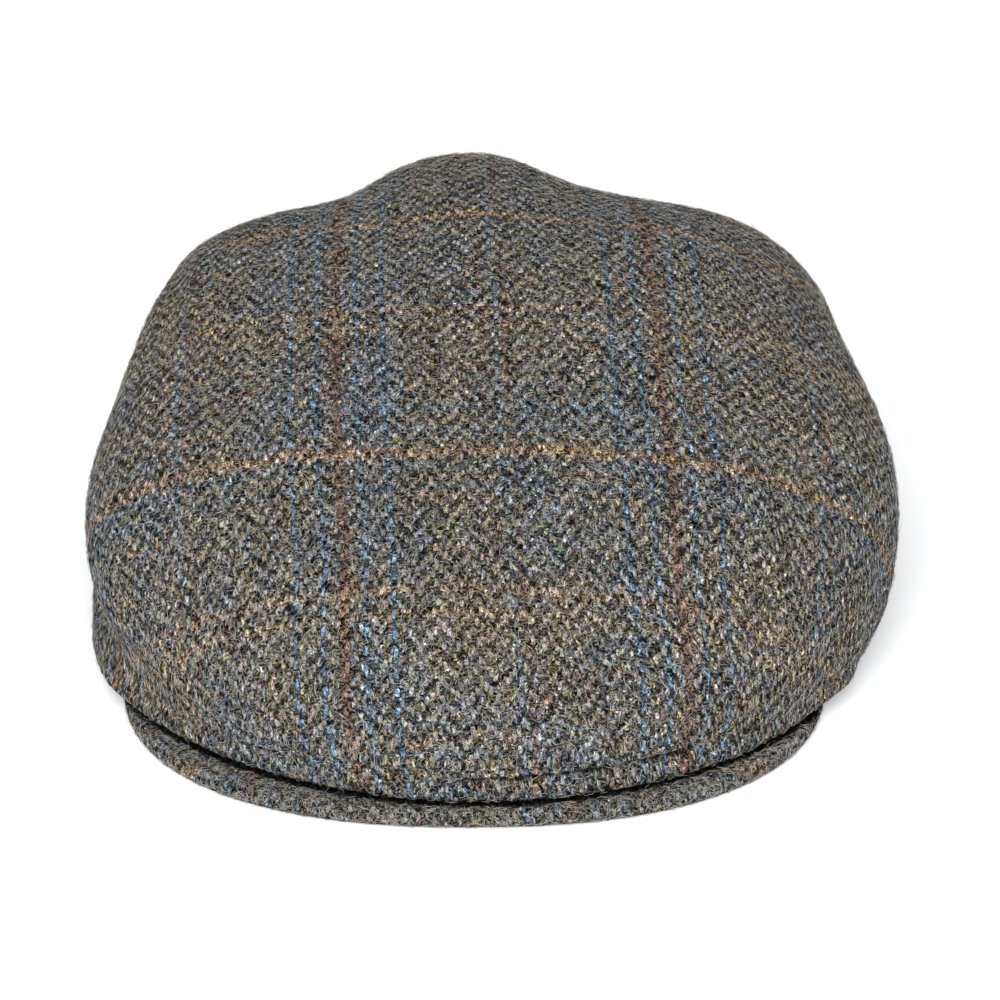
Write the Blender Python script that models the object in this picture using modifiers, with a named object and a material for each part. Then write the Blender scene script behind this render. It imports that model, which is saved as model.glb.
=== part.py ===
"""Tweed flat cap lying on its hem, as four sewn pieces: top panel, two side panels and peak.

Metres, +Z up, the peak towards -Y. The origin is under the middle of the cap, on the floor.
Left and right are as seen from in front, so right is +X, the wearer's left.
"""
import math

import bmesh
import bpy
import numpy as np
from mathutils import Vector

# Crown
CROWN_WIDTH = 0.210           # at the ridge, before the dents
CROWN_LENGTH = 0.240          # front lip to centre back
CROWN_HEIGHT = 0.098          # hem to the height that the sections are shares of
CROWN_CENTRE_RISE = 0.905     # height over the crown's centre, as a share of CROWN_HEIGHT
CROWN_SLOPE = 0.33            # fall towards the front over half the length, as a share of CROWN_HEIGHT
CLOTH = 0.0024                # wall of a panel: tweed with its backing
SEAM_GAP = 0.0006             # clearance between the edges of two panels
LIP_GAP = 0.0004              # clearance between the front lip and the peak

# Peak
PEAK_WIDTH = 0.182
PEAK_REACH = 0.0755           # from the line through its tips to its front edge
PEAK_SHOW = 0.0045            # how far it stands out past the lip at the centre
PEAK_THICKNESS = 0.0046
PEAK_ROUND = 0.0016           # rounding of its outer edge
PEAK_SQUARENESS = 2.3         # exponent of the outline: 2 is an ellipse
BAND_WIDTH = 0.172            # curve that the peak is sewn to, where the forehead goes
BAND_REACH = 0.024            # from the line through the tips to that curve's front

# Where the side panels start: the tip of the peak, as an angle from the front
TIP_ANGLE = math.radians(66)
LIP_BLEND_ANGLE = math.radians(50)   # the hem starts to drop from the lip to the floor here

# Seam between the top panel and a side panel, which rises from the peak's tip to the back
SEAM_AT_BACK = 0.80           # depth down the section at the centre back (see crown_surface)
SEAM_RISE = 0.42              # exponent: small values rise steeply behind the tip

# Radial sections of the crown. reach, hem: shares of the half plan and of the reach.
# ridge, lift: shares of CROWN_HEIGHT. full: roundness exponent. under: curl below the ridge.
SECTION_COLUMNS = ("angle", "reach", "ridge", "full", "lift", "hem", "under")
SECTIONS = (
    (0,   1.000, 0.15, 2.20, 0.00, 0.955, 88),
    (30,  1.010, 0.16, 2.25, 0.00, 0.955, 84),
    (60,  1.045, 0.28, 2.20, 0.00, 0.955, 66),
    (90,  1.030, 0.43, 2.30, -0.02, 0.955, 50),
    (120, 1.030, 0.46, 2.35, -0.04, 0.945, 46),
    (150, 1.010, 0.48, 2.05, -0.04, 0.930, 45),
    (180, 1.000, 0.50, 2.20, 0.00, 0.930, 45),
)

# Dents and swells, each a smooth bump on the crown. angle, spread: degrees, positive to the right.
# depth, reach: down the section (see crown_surface). push: outwards, a share of CROWN_HEIGHT.
DENT_COLUMNS = ("name", "angle", "spread", "depth", "reach", "push")
DENTS = (
    ("right_lip", 34, 22, 1.90, 0.70, 0.022),
    ("right_belly", 80, 30, 1.15, 0.50, 0.046),
    ("right_flank", 103, 18, 0.82, 0.22, -0.035),
    ("right_shoulder", 131, 17, 0.88, 0.24, 0.110),
    ("right_back", 164, 14, 0.70, 0.30, -0.020),
    ("left_belly", -88, 30, 1.25, 0.50, -0.060),
    ("left_flank", -98, 22, 0.84, 0.24, -0.070),
    ("left_seam_fold", -76, 18, 1.34, 0.17, -0.042),
    ("left_hem", -68, 13, 1.80, 0.25, 0.022),
    ("left_shoulder", -134, 12, 0.90, 0.22, 0.072),
    ("left_back", -155, 12, 0.74, 0.28, -0.058),
)
DENT_CORE_SHARE = 0.35        # height that the dents push away from, share of CROWN_HEIGHT
DENT_FREE_SHARE = 0.30        # they fade out from this depth to the crown's centre
DENT_FADE_SHARE = 0.15        # they lift nothing at the lip, and fully this share above it

# Mesh
FRONT_COLUMNS = 24            # grid columns of the front lip, tip to tip
SIDE_COLUMNS = 26             # grid columns from a tip to the centre back
TOP_ROWS = 20                 # grid rows from the centre to the edge of the top panel
SIDE_ROWS = 10
BACK_CROWDING = 1.45          # exponent: columns stand closer just behind the tip
PEAK_COLUMNS = 48
PEAK_ROWS = 5
EDGE_ROW = 0.0015             # width of the last grid row at a seam
HEM_TRIM = 0.003              # the side panels are made this much too long, then cut flat
NUDGE_ANGLE = math.radians(0.6)      # half step for slopes, in radians or depth
WELD_DISTANCE = 1e-6
SHARP_ANGLE = math.radians(50)       # edges that turn more than this stay sharp, or get rounded

LIP_HEIGHT = PEAK_THICKNESS + LIP_GAP
PEAK_TIP_Y = PEAK_REACH - CROWN_LENGTH / 2 - PEAK_SHOW
INSIDE = Vector((0.0, 0.0, DENT_CORE_SHARE * CROWN_HEIGHT))


def section_column(name):
    """One column of SECTIONS, as an array."""
    index = SECTION_COLUMNS.index(name)
    return np.array([row[index] for row in SECTIONS], dtype=float)


def around(name, angle):
    """A column of SECTIONS at any angle, by the sum of cosines that passes through its rows."""
    rows = np.radians(section_column("angle"))
    orders = np.arange(len(rows))
    weights = np.linalg.solve(np.cos(np.outer(rows, orders)), section_column(name))
    return np.cos(np.multiply.outer(np.abs(angle), orders)) @ weights


def smooth_step(value, low, high):
    """0 below low, 1 above high, and a smooth rise between them."""
    share = np.clip((value - low) / (high - low), 0.0, 1.0)
    return share * share * (3.0 - 2.0 * share)


def dent_push(angle, depth):
    """How far the dents move the surface outwards."""
    push = np.zeros(np.broadcast(angle, depth).shape)
    for row in DENTS:
        dent = dict(zip(DENT_COLUMNS, row))
        turn = (angle - math.radians(dent["angle"]) + math.pi) % (2 * math.pi) - math.pi
        across = turn / math.radians(dent["spread"])
        down = (depth - dent["depth"]) / dent["reach"]
        push = push + dent["push"] * CROWN_HEIGHT * np.exp(-across ** 2 - down ** 2)
    return push * smooth_step(depth, 0.0, DENT_FREE_SHARE)


def hem_rise(angle):
    """Height of a section's lower end: on the peak in front of its tips, else on the floor."""
    return LIP_HEIGHT / CROWN_HEIGHT * (1.0 - smooth_step(np.abs(angle), LIP_BLEND_ANGLE, TIP_ANGLE))


def crown_surface(angle, depth):
    """Outside of the crown. depth runs 0 at the centre, 1 at the ridge, 2 at the hem.

    Above the ridge a section is a sloped plane less a superellipse quarter that ends upright at
    the ridge. Below the ridge it curls under along an arc that is stretched to meet the hem.
    """
    reach = around("reach", angle)
    ridge = around("ridge", angle)
    power = 2.0 / around("full", angle)
    lift = around("lift", angle)
    curl = np.radians(around("under", angle))
    hem_reach = reach * around("hem", angle)

    slope = -CROWN_SLOPE * np.cos(angle)
    fall = CROWN_CENTRE_RISE + slope * reach + lift - ridge
    quarter = np.clip(depth, 0.0, 1.0) * math.pi / 2
    out = np.sin(quarter) ** power
    top_reach = reach * out
    top_rise = (CROWN_CENTRE_RISE + slope * top_reach + lift * out ** 2
                - fall * (1.0 - np.clip(np.cos(quarter), 0.0, 1.0) ** power))

    turn = np.clip(depth - 1.0, 0.0, None) * curl
    under_reach = reach - (reach - hem_reach) * (1.0 - np.cos(turn)) / (1.0 - np.cos(curl))
    under_rise = ridge - (ridge - hem_rise(angle)) * np.sin(turn) / np.sin(curl)

    radius = np.where(depth <= 1.0, top_reach, under_reach)
    x = CROWN_WIDTH / 2 * radius * np.sin(angle)
    y = -CROWN_LENGTH / 2 * radius * np.cos(angle)
    z = CROWN_HEIGHT * np.where(depth <= 1.0, top_rise, under_rise)

    above = z - INSIDE.z
    push = dent_push(angle, depth) / np.sqrt(x ** 2 + y ** 2 + above ** 2)
    rise = above * push * smooth_step(z, LIP_HEIGHT, LIP_HEIGHT + DENT_FADE_SHARE * CROWN_HEIGHT)
    return np.stack([x * (1.0 + push), y * (1.0 + push), z + rise], axis=-1)


def lip_depth(angle):
    """Depth at which a section comes down to the top of the peak."""
    ridge = around("ridge", angle)
    curl = np.radians(around("under", angle))
    drop = (ridge - LIP_HEIGHT / CROWN_HEIGHT) / (ridge - hem_rise(angle))
    return 1.0 + np.arcsin(np.clip(drop, 0.0, 1.0) * np.sin(curl)) / curl


def seam_depth(angle):
    """Depth of the edge of the top panel: the lip between the tips, the side seam behind them."""
    share = np.clip((np.abs(angle) - TIP_ANGLE) / (math.pi - TIP_ANGLE), 0.0, 1.0)
    at_tip = lip_depth(np.array([TIP_ANGLE]))[0]
    seam = at_tip - (at_tip - SEAM_AT_BACK) * share ** SEAM_RISE
    return np.where(np.abs(angle) < TIP_ANGLE, lip_depth(angle), seam)


def section_run(angle, depth):
    """Change of place for each unit of depth down a section."""
    ahead, behind = crown_surface(angle, depth + NUDGE_ANGLE), crown_surface(angle, depth - NUDGE_ANGLE)
    return (ahead - behind) / (2 * NUDGE_ANGLE)


def seam_trim(angle):
    """Change of depth that takes half the seam gap off a panel, square to the seam."""
    ahead, behind = np.abs(angle) + NUDGE_ANGLE, np.maximum(np.abs(angle) - NUDGE_ANGLE, TIP_ANGLE)
    side = np.where(angle < 0, -1.0, 1.0)
    along = crown_surface(ahead * side, seam_depth(ahead)) - crown_surface(behind * side, seam_depth(behind))
    down = section_run(angle, seam_depth(angle))
    square = np.linalg.norm(np.cross(along, down), axis=-1) / np.linalg.norm(along, axis=-1)
    return SEAM_GAP / 2 / square


def edge_row(angle):
    """Depth of the narrow grid row along a seam, which keeps the two cut edges parallel."""
    return EDGE_ROW / np.linalg.norm(section_run(angle, seam_depth(angle)), axis=-1)


def grid_object(name, columns, rows, shape, weld):
    """A grid primitive whose points are moved to shape(u, v), u and v from 0 to 1."""
    mesh = bpy.data.meshes.new(name)
    work = bmesh.new()
    bmesh.ops.create_grid(work, x_segments=columns, y_segments=rows, size=0.5)
    flat = np.array([vert.co[:] for vert in work.verts]) + 0.5
    for vert, place in zip(work.verts, shape(flat[:, 0], flat[:, 1])):
        vert.co = place
    if weld:
        bmesh.ops.remove_doubles(work, verts=work.verts, dist=WELD_DISTANCE)
    bmesh.ops.recalc_face_normals(work, faces=work.faces)
    work.to_mesh(mesh)
    work.free()
    thing = bpy.data.objects.new(name, mesh)
    cap.objects.link(thing)
    return thing


def face_outwards(thing):
    """Turn the whole surface over if its faces look towards the middle of the cap."""
    mesh = thing.data
    facing = sum(poly.area * poly.normal.dot(poly.center - INSIDE) for poly in mesh.polygons)
    if facing < 0:
        mesh.flip_normals()


def back_angles(share):
    """Angles from the tip to the centre back, closer together behind the tip."""
    return TIP_ANGLE + (math.pi - TIP_ANGLE) * share ** BACK_CROWDING


def top_panel_angles():
    """Grid columns right round the crown: back to the left tip, the lip, then to the back."""
    behind = back_angles(np.linspace(0.0, 1.0, SIDE_COLUMNS + 1))
    lip = np.linspace(-TIP_ANGLE, TIP_ANGLE, FRONT_COLUMNS + 1)[1:-1]
    return np.concatenate([-behind[::-1], lip, behind])


def top_panel_shape(u, v):
    angles = top_panel_angles()
    angle = np.interp(u, np.linspace(0.0, 1.0, len(angles)), angles)
    trim = np.where(np.abs(angle) < TIP_ANGLE - WELD_DISTANCE, 0.0, seam_trim(angle))
    edge = seam_depth(angle) - trim
    last = 1.0 / TOP_ROWS
    inner = (edge - edge_row(angle)) * v / (1.0 - last)
    return crown_surface(angle, np.where(v > 1.0 - last / 2, edge, inner))


def side_panel_shape(side):
    """Shape of a side panel: side is 1 for positive angles and -1 for negative ones."""
    def shape(u, v):
        back_gap = SEAM_GAP / 2 / (CROWN_WIDTH / 2)
        angle = np.minimum(back_angles(u), math.pi - back_gap) * side
        start = seam_depth(angle) + seam_trim(angle)
        end = 2.0 + HEM_TRIM / np.linalg.norm(section_run(angle, np.full_like(angle, 2.0)), axis=-1)
        first = 1.0 / SIDE_ROWS
        inner = start + edge_row(angle)
        lower = inner + (end - inner) * (v - first) / (1.0 - first)
        return crown_surface(angle, np.where(v < first / 2, start, lower))
    return shape


def solidify(thing, thickness, offset):
    """Give a surface its wall: offset -1 puts it inside the surface, 0 half on each side."""
    wall = thing.modifiers.new("Wall", "SOLIDIFY")
    wall.thickness = thickness
    wall.offset = offset
    wall.use_even_offset = True
    wall.use_quality_normals = True


def apply_modifiers(thing):
    """Replace an object's mesh by its evaluated one."""
    graph = bpy.context.evaluated_depsgraph_get()
    mesh = bpy.data.meshes.new_from_object(thing.evaluated_get(graph))
    thing.modifiers.clear()
    thing.data = mesh


def cut_hem_flat(thing):
    """Trim a panel at the floor, so that it stands on a flat hem."""
    work = bmesh.new()
    work.from_mesh(thing.data)
    everything = work.verts[:] + work.edges[:] + work.faces[:]
    cut = bmesh.ops.bisect_plane(work, geom=everything, dist=WELD_DISTANCE / 10, plane_co=(0, 0, 0),
                                 plane_no=(0, 0, 1), clear_inner=True)
    rim = [item for item in cut["geom_cut"] if isinstance(item, bmesh.types.BMEdge)]
    bmesh.ops.triangle_fill(work, edges=rim, use_beauty=True, normal=(0, 0, -1))
    bmesh.ops.recalc_face_normals(work, faces=work.faces)
    work.to_mesh(thing.data)
    work.free()


def tweed(name, color):
    """Woven wool: rough, no gloss."""
    material = bpy.data.materials.new(name)
    material.use_nodes = True
    shader = material.node_tree.nodes["Principled BSDF"]
    shader.inputs["Base Color"].default_value = (*color, 1.0)
    shader.inputs["Roughness"].default_value = 0.92
    shader.inputs["Metallic"].default_value = 0.0
    shader.inputs["Sheen Weight"].default_value = 0.3
    return material


def make_top_panel():
    columns = FRONT_COLUMNS + 2 * SIDE_COLUMNS
    panel = grid_object("top_panel", columns, TOP_ROWS, top_panel_shape, weld=True)
    face_outwards(panel)
    solidify(panel, CLOTH, -1.0)
    panel.data.materials.append(tweed("top_tweed", (0.150, 0.142, 0.134)))
    return panel


def make_side_panel(name, side):
    panel = grid_object(name, SIDE_COLUMNS, SIDE_ROWS, side_panel_shape(side), weld=False)
    face_outwards(panel)
    solidify(panel, CLOTH, -1.0)
    apply_modifiers(panel)
    cut_hem_flat(panel)
    panel.data.materials.append(tweed(name + "_tweed", (0.140, 0.133, 0.126)))
    return panel


def peak_shape(u, v):
    """Crescent between the band curve (v = 0) and the superellipse of the front edge (v = 1)."""
    turn = (u - 0.5) * math.pi
    across = np.sign(turn) * np.abs(np.sin(turn)) ** (2.0 / PEAK_SQUARENESS)
    forward = np.clip(np.cos(turn), 0.0, 1.0) ** (2.0 / PEAK_SQUARENESS)
    half = (BAND_WIDTH + (PEAK_WIDTH - BAND_WIDTH) * v) / 2
    reach = BAND_REACH + (PEAK_REACH - BAND_REACH) * v
    height = np.full_like(u, PEAK_THICKNESS / 2)
    return np.stack([half * across, PEAK_TIP_Y - reach * forward, height], axis=-1)


def make_peak():
    peak = grid_object("peak", PEAK_COLUMNS, PEAK_ROWS, peak_shape, weld=False)
    solidify(peak, PEAK_THICKNESS, 0.0)
    edge = peak.modifiers.new("Edge", "BEVEL")
    edge.width = PEAK_ROUND
    edge.segments = 2
    edge.limit_method = "ANGLE"
    edge.angle_limit = SHARP_ANGLE
    peak.data.materials.append(tweed("peak_tweed", (0.120, 0.114, 0.108)))
    return peak


def centre_on_floor(things):
    """Move the pieces so that the origin is under the middle of the whole cap."""
    graph = bpy.context.evaluated_depsgraph_get()
    points = []
    for thing in things:
        mesh = thing.evaluated_get(graph).to_mesh()
        points += [vert.co[:] for vert in mesh.vertices]
    low, high = np.min(points, axis=0), np.max(points, axis=0)
    for thing in things:
        for axis in (0, 1):
            thing.location[axis] = -(low[axis] + high[axis]) / 2


for old in list(bpy.data.objects):
    bpy.data.objects.remove(old)
cap = bpy.data.collections.new("flat_cap")
bpy.context.scene.collection.children.link(cap)

pieces = [
    make_top_panel(),
    make_side_panel("side_panel_right", 1),
    make_side_panel("side_panel_left", -1),
    make_peak(),
]
for piece in pieces:
    piece.data.shade_smooth()
    piece.data.set_sharp_from_angle(angle=SHARP_ANGLE)
centre_on_floor(pieces)
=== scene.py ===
import math

import bpy
import numpy as np
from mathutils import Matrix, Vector


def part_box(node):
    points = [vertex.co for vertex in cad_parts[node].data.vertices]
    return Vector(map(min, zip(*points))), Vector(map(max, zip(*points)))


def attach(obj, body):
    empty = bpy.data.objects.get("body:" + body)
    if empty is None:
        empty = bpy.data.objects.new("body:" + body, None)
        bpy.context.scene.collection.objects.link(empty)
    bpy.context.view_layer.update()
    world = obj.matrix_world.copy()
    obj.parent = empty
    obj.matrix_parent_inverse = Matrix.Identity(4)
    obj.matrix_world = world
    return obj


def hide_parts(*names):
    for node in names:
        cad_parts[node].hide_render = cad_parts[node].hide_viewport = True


# A tweed flat cap lying on a white table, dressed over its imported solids.
# Metres, +Z up, peak towards -Y. Left and right are as seen from in front.
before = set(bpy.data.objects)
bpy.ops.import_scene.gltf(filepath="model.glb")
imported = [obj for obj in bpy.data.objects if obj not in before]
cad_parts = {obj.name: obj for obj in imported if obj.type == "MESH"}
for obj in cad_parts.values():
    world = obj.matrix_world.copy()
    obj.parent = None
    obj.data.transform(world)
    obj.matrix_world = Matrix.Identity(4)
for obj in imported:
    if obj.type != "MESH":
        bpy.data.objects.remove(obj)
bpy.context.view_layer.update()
scene = bpy.context.scene

# The crown's driving sizes. Shares are of the height, unless a note says otherwise.
crown = {
    "width": 0.210,
    "length": 0.240,
    "height": 0.098,
    "centreRise": 0.905,
    "slope": 0.33,  # fall to the front over half the length
    "cloth": 0.0022,  # wall
    "tipAngle": math.radians(66),  # where the peak ends and the side panels start
    "blendAngle": math.radians(50),  # the hem starts to drop from the peak to the floor
    "seamAtBack": 0.80,  # depth of the side seam at the centre back
    "seamRise": 0.42,  # exponent: the seam rises steeply behind the tip
    "seamGap": 0.00008,
    "dentCore": 0.35,  # height that the dents push away from
    "dentFree": 0.30,  # depth at which they reach their full size
    "dentFade": 0.15,  # height above the lip over which they start to lift
    "crowding": 1.45,  # exponent: grid columns lie closer together behind the tip
}

# Radial sections, from the front (0 degrees) to the back (180).
sections = {
    "angle": (0, 30, 60, 90, 120, 150, 180),
    "reach": (1.000, 1.010, 1.045, 1.030, 1.030, 1.010, 1.000),  # share of the half plan
    "ridge": (0.15, 0.16, 0.28, 0.43, 0.46, 0.48, 0.50),
    "full": (2.20, 2.25, 2.20, 2.30, 2.35, 2.05, 2.20),  # roundness exponent
    "lift": (0.00, 0.00, 0.00, -0.02, -0.04, -0.04, 0.00),
    "hem": (0.955, 0.955, 0.955, 0.955, 0.945, 0.930, 0.930),  # share of the reach
    "under": (88, 84, 66, 50, 46, 45, 45),  # degrees curled below the ridge
}

# Dents and swells: angle, spread (degrees), depth, reach (down the section), push (share of the height).
dents = {
    "rightLip": (34, 22, 1.90, 0.70, 0.022),
    "rightBelly": (80, 30, 1.15, 0.50, 0.046),
    "rightFlank": (103, 18, 0.82, 0.22, -0.035),
    "rightShoulder": (131, 17, 0.88, 0.24, 0.110),
    "rightBack": (164, 14, 0.70, 0.30, -0.020),
    "leftBelly": (-88, 30, 1.25, 0.50, -0.060),
    "leftFlank": (-98, 22, 0.84, 0.24, -0.070),
    "leftSeamFold": (-76, 18, 1.34, 0.17, -0.042),
    "leftHem": (-68, 13, 1.80, 0.25, 0.022),
    "leftShoulder": (-134, 12, 0.90, 0.22, 0.072),
    "leftBack": (-155, 12, 0.74, 0.28, -0.058),
}

# Slighter ones, only in the cloth, under 4 mm.
softDents = {
    "leftShoulderDip": (-113, 15, 0.80, 0.17, -0.036),
    "leftBackDip": (-140, 13, 0.52, 0.20, -0.024),
    "leftCornerSwell": (-80, 16, 0.97, 0.24, 0.015),
    "leftSeamDip": (-77, 14, 1.75, 0.20, -0.022),
    "rightShoulderDip": (125, 13, 0.78, 0.18, -0.014),
    "rightCornerSwell": (70, 14, 1.45, 0.28, 0.018),
    "rightBackDip": (160, 12, 0.55, 0.15, -0.018),
}

peak = {
    "width": 0.182,
    "reach": 0.0755,  # tips to front edge
    "show": 0.0045,  # past the lip, at the centre
    "thickness": 0.0046,
    "clear": 0.0004,  # the lip stands above it
    "squareness": 2.3,  # exponent of the outline
    "bandWidth": 0.172,  # the curve that it is sewn to
    "bandReach": 0.024,
    "edgeRound": 0.0023,
    "columns": 300,
    "rows": 40,
    "foldDrop": 0.0011,  # height of the fold line low on the rim
    "foldDeep": 0.00045,
    "foldWide": 0.00035,
    "foldIn": (-0.004, -0.001),  # behind the front edge
    "weld": 0.00002,
    "firstYarns": (410.3, 205.5),  # end and pick at the crown's centre
}
lipHeight = peak["thickness"] + peak["clear"]
peakTipY = peak["reach"] - crown["length"] / 2 - peak["show"]

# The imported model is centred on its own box, so the peak's box says how far the crown's centre moved.
peakLow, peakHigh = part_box("peak")
crownShift = np.array([(peakLow.x + peakHigh.x) / 2, peakLow.y - (peakTipY - peak["reach"]), 0.0])
print("crown's centre is at", crownShift.round(4).tolist())


def clamp(value):
    return np.clip(value, 0.0, 1.0)


def smooth(value, low, high):
    # 0 below low, 1 above high, 3s^2 - 2s^3 of the share s between them
    share = clamp((value - low) / (high - low))
    return share * share * (3.0 - 2.0 * share)


def around(name, angle):
    # the sum of cosines of 0 to 6 times the angle that passes through a column of the sections
    rows = np.radians(sections["angle"])
    orders = np.arange(len(rows))
    weights = np.linalg.solve(np.cos(np.outer(rows, orders)), sections[name])
    return np.cos(np.multiply.outer(np.abs(angle), orders)) @ weights


def dentPush(angle, depth):
    # each dent is a Gaussian of the turn from its angle and of the depth from its own
    push = np.zeros(np.broadcast(angle, depth).shape)
    for dentAngle, spread, dentDepth, reach, amount in (*dents.values(), *softDents.values()):
        turn = (angle - math.radians(dentAngle) + math.pi) % math.tau - math.pi
        bump = np.exp(-(turn / math.radians(spread)) ** 2 - ((depth - dentDepth) / reach) ** 2)
        push = push + amount * crown["height"] * bump
    return push * smooth(depth, 0.0, crown["dentFree"])


def hemRise(angle):
    # the lower end stands on the peak in front, and on the table behind its tips
    onPeak = 1.0 - smooth(np.abs(angle), crown["blendAngle"], crown["tipAngle"])
    return lipHeight / crown["height"] * onPeak


def crownSurface(angle, depth):
    # depth 0 is the centre, 1 the ridge, 2 the hem. Above the ridge: a sloped plane less a
    # superellipse quarter that ends upright. Below it: an arc that is stretched to meet the hem.
    # The dents then push it away from a point inside.
    reach, ridge, lift = around("reach", angle), around("ridge", angle), around("lift", angle)
    power = 2.0 / around("full", angle)
    curl = np.radians(around("under", angle))
    slope = -crown["slope"] * np.cos(angle)
    fall = crown["centreRise"] + slope * reach + lift - ridge
    quarter = clamp(depth) * math.pi / 2
    out = np.sin(quarter) ** power
    topReach = reach * out
    topRise = (crown["centreRise"] + slope * topReach + lift * out ** 2
               - fall * (1.0 - clamp(np.cos(quarter)) ** power))
    turn = np.clip(depth - 1.0, 0.0, None) * curl
    hemReach = reach * around("hem", angle)
    underReach = reach - (reach - hemReach) * (1.0 - np.cos(turn)) / (1.0 - np.cos(curl))
    underRise = ridge - (ridge - hemRise(angle)) * np.sin(turn) / np.sin(curl)
    radius = np.where(depth <= 1.0, topReach, underReach)
    x = crown["width"] / 2 * radius * np.sin(angle)
    y = -crown["length"] / 2 * radius * np.cos(angle)
    z = crown["height"] * np.where(depth <= 1.0, topRise, underRise)
    above = z - crown["dentCore"] * crown["height"]
    push = dentPush(angle, depth) / np.sqrt(x ** 2 + y ** 2 + above ** 2)
    fade = smooth(z, lipHeight, lipHeight + crown["dentFade"] * crown["height"])
    place = np.stack([x * (1.0 + push), y * (1.0 + push), z + above * push * fade], axis=-1)
    return place + crownShift


def lipDepth(angle):
    # the depth at which a section comes down to the peak
    ridge, curl = around("ridge", angle), np.radians(around("under", angle))
    drop = (ridge - lipHeight / crown["height"]) / (ridge - hemRise(angle))
    return 1.0 + np.arcsin(clamp(drop) * np.sin(curl)) / curl


def seamDepth(angle):
    # the top panel's edge: the lip between the tips, and behind them a seam that rises as a power
    tip = crown["tipAngle"]
    share = clamp((np.abs(angle) - tip) / (math.pi - tip))
    atTip = lipDepth(np.array([tip]))[0]
    seam = atTip - (atTip - crown["seamAtBack"]) * share ** crown["seamRise"]
    return np.where(np.abs(angle) < tip, lipDepth(angle), seam)


def backAngles(count):
    # angles from a tip to the centre back, closer together behind the tip
    share = np.linspace(0.0, 1.0, count) ** crown["crowding"]
    return crown["tipAngle"] + (math.pi - crown["tipAngle"]) * share


def lengths(vectors):
    return np.linalg.norm(vectors, axis=-1)


def unit(vectors):
    return vectors / lengths(vectors)[..., None]


def onGrid(grid, at):
    # bilinear between the corners of a grid, and straight on past its edges
    low = np.clip(np.floor(at).astype(int), 0, np.array(grid.shape[:2]) - 2)
    column, row = low[:, 0], low[:, 1]
    partColumn, partRow = (at - low)[:, :1], (at - low)[:, 1:]
    left = grid[column, row] * (1 - partRow) + grid[column, row + 1] * partRow
    right = grid[column + 1, row] * (1 - partRow) + grid[column + 1, row + 1] * partRow
    return left * (1 - partColumn) + right * partColumn


def gridNormals(points, closed):
    # the cross product of the two grid directions, by central differences
    if closed:
        across = np.roll(points, -1, axis=0) - np.roll(points, 1, axis=0)
    else:
        across = np.gradient(points, axis=0)
    down = np.gradient(points, axis=1)
    normal = np.cross(down, across)
    return normal / np.maximum(lengths(normal), 1e-12)[..., None]


leastWeight = 0.05  # of an edge, where a triangle is blunt


def layFlat(points, triangles, start, rounds):
    # Lays a surface flat with the least stretch. Flat places are complex numbers. Each triangle is
    # turned to where it lies best, then the corners go where the turned triangles agree, weighted by
    # the cotangents of their angles, over and over.
    corner = points[triangles]
    edgeOne, edgeTwo = corner[:, 1] - corner[:, 0], corner[:, 2] - corner[:, 0]
    length = lengths(edgeOne)
    third = ((edgeOne * edgeTwo).sum(1) + 1j * lengths(np.cross(edgeOne, edgeTwo))) / length
    local = np.stack([0 * third, length, third], axis=1)
    matrix = np.zeros((len(points), len(points)))
    matrix[0, 0] = 1.0
    edges = []
    for near, far, opposite in ((0, 1, 2), (1, 2, 0), (2, 0, 1)):
        angle = (local[:, near] - local[:, opposite]).conj() * (local[:, far] - local[:, opposite])
        weight = 0.5 * np.maximum(angle.real / np.abs(angle.imag), leastWeight)
        first, second = triangles[:, near], triangles[:, far]
        for row, column, sign in ((first, first, 1), (second, second, 1),
                                  (first, second, -1), (second, first, -1)):
            np.add.at(matrix, (row, column), sign * weight)
        edges.append((weight, first, second, local[:, near] - local[:, far]))
    solver = np.linalg.inv(matrix)
    flat = start
    for _ in range(rounds):
        turn = sum(weight * (flat[first] - flat[second]) * side.conj()
                   for weight, first, second, side in edges)
        turn = turn / np.abs(turn)
        goal = np.zeros(len(points), complex)
        for weight, first, second, side in edges:
            np.add.at(goal, first, weight * turn * side)
            np.add.at(goal, second, -weight * turn * side)
        flat = (solver @ goal.view(float).reshape(-1, 2)).view(complex)[:, 0]
    return flat


# The cloth: yarns, and how the check lies on the cap.
cloth = {
    "endPitch": 0.00111,  # warp yarns, across the cap
    "pickPitch": 0.00128,  # weft yarns, down the cap
    "endRepeat": 72,  # ends in one check
    "pickRepeat": 71,
    "repeatsBefore": 4,  # keeps the counts above zero
    "rustEnd": -0.0322,  # flat place of a rust warp stripe, at the strong weft stripe
    "strongPick": -0.0569,  # flat place of a strong weft stripe
    "lean": 0.060,  # the warp leans to the right towards the front
    "spread": 2.7,  # how much wider the ends lie, for each metre past spreadFrom
    "spreadFrom": 0.090,
    "topShift": 0.0014,  # on top the ends lie this much further right
    "topZone": (-0.045, -0.005),
    "closerPicks": 2.8,  # extra picks in the lower front, where they lie closer
    "closerZone": (0.100, 0.149),
    "lastStripe": 70.0,  # picks past the strong stripe, beyond which the front shows no more
}


def yarnCount(flat):
    # ends across and picks down the cloth at a flat place, a complex number in metres
    across, up = flat.real, flat.imag
    across = across * (1 - cloth["spread"] * np.clip(-up - cloth["spreadFrom"], 0.0, None))
    across = across - cloth["topShift"] * smooth(up, *cloth["topZone"])
    leaning = across + cloth["lean"] * (up - cloth["strongPick"])
    before = cloth["repeatsBefore"]
    ends = (leaning - cloth["rustEnd"]) / cloth["endPitch"] + before * cloth["endRepeat"] + 1.0
    picks = (cloth["strongPick"] - up) / cloth["pickPitch"] + before * cloth["pickRepeat"] + 0.5
    picks = picks + cloth["closerPicks"] * smooth(-up, *cloth["closerZone"])
    return np.stack([ends, picks], axis=-1)


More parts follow.
